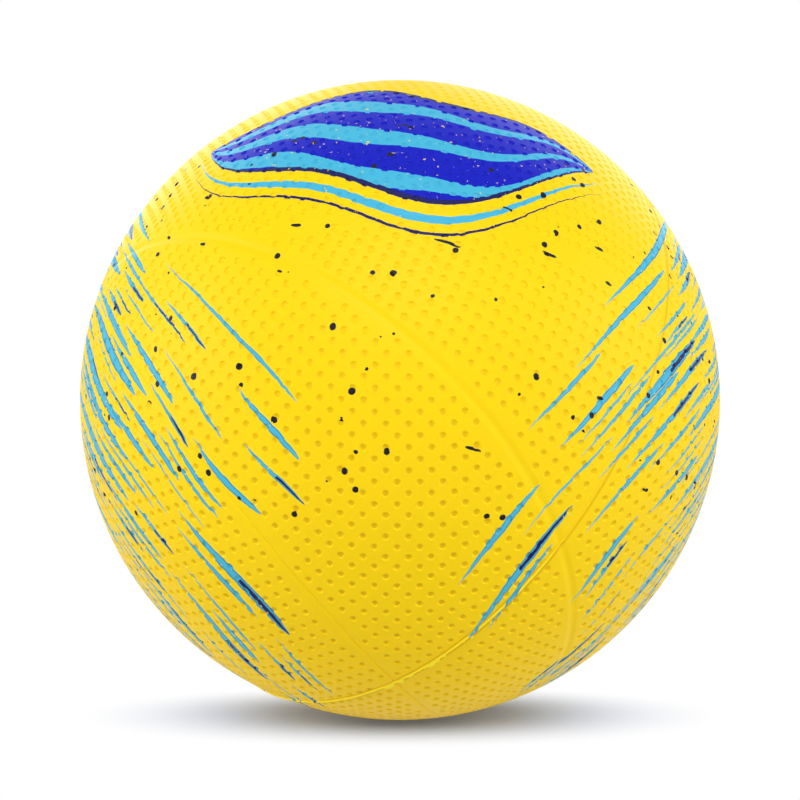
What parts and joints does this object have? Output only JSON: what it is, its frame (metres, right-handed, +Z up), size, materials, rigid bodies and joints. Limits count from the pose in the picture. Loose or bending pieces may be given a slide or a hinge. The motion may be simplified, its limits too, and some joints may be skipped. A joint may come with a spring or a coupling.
{
  "type": "volleyball",
  "caption": "Moulded rubber volleyball with swirling dimpled panels over a wound carcass and an air bladder with a needle valve.",
  "frame": {"origin": "the ball's centre", "axes": "+Z up as the ball lies in the picture, +X to the right and -Y towards the camera; the swirl of the seams turns round an axis leaning 6 degrees back from +Z"},
  "size_m": [0.21, 0.21, 0.21],
  "materials": {
    "cover_rubber": "bright yellow moulded rubber, satin, finely dimpled, with printed decoration",
    "carcass_rubber": "plain dark rubber, matt",
    "winding_thread": "wound nylon thread set in latex",
    "bladder_rubber": "smooth black butyl rubber",
    "valve_rubber": "firm dark rubber, slightly shiny"
  },
  "bodies": {
    "root": {"cover_swirl_1": "cover_rubber", "cover_swirl_2": "cover_rubber", "cover_swirl_3": "cover_rubber", "cover_swirl_4": "cover_rubber", "cover_swirl_5": "cover_rubber", "cover_swirl_6": "cover_rubber", "cover_crown_front": "cover_rubber", "cover_crown_back": "cover_rubber", "cover_base_disc": "cover_rubber", "carcass_upper": "carcass_rubber", "carcass_lower": "carcass_rubber", "thread_winding": "winding_thread", "bladder": "bladder_rubber", "valve_patch": "bladder_rubber", "valve_housing": "valve_rubber", "valve_core": "valve_rubber", "valve_collar": "valve_rubber"}
  },
  "joints": []
}
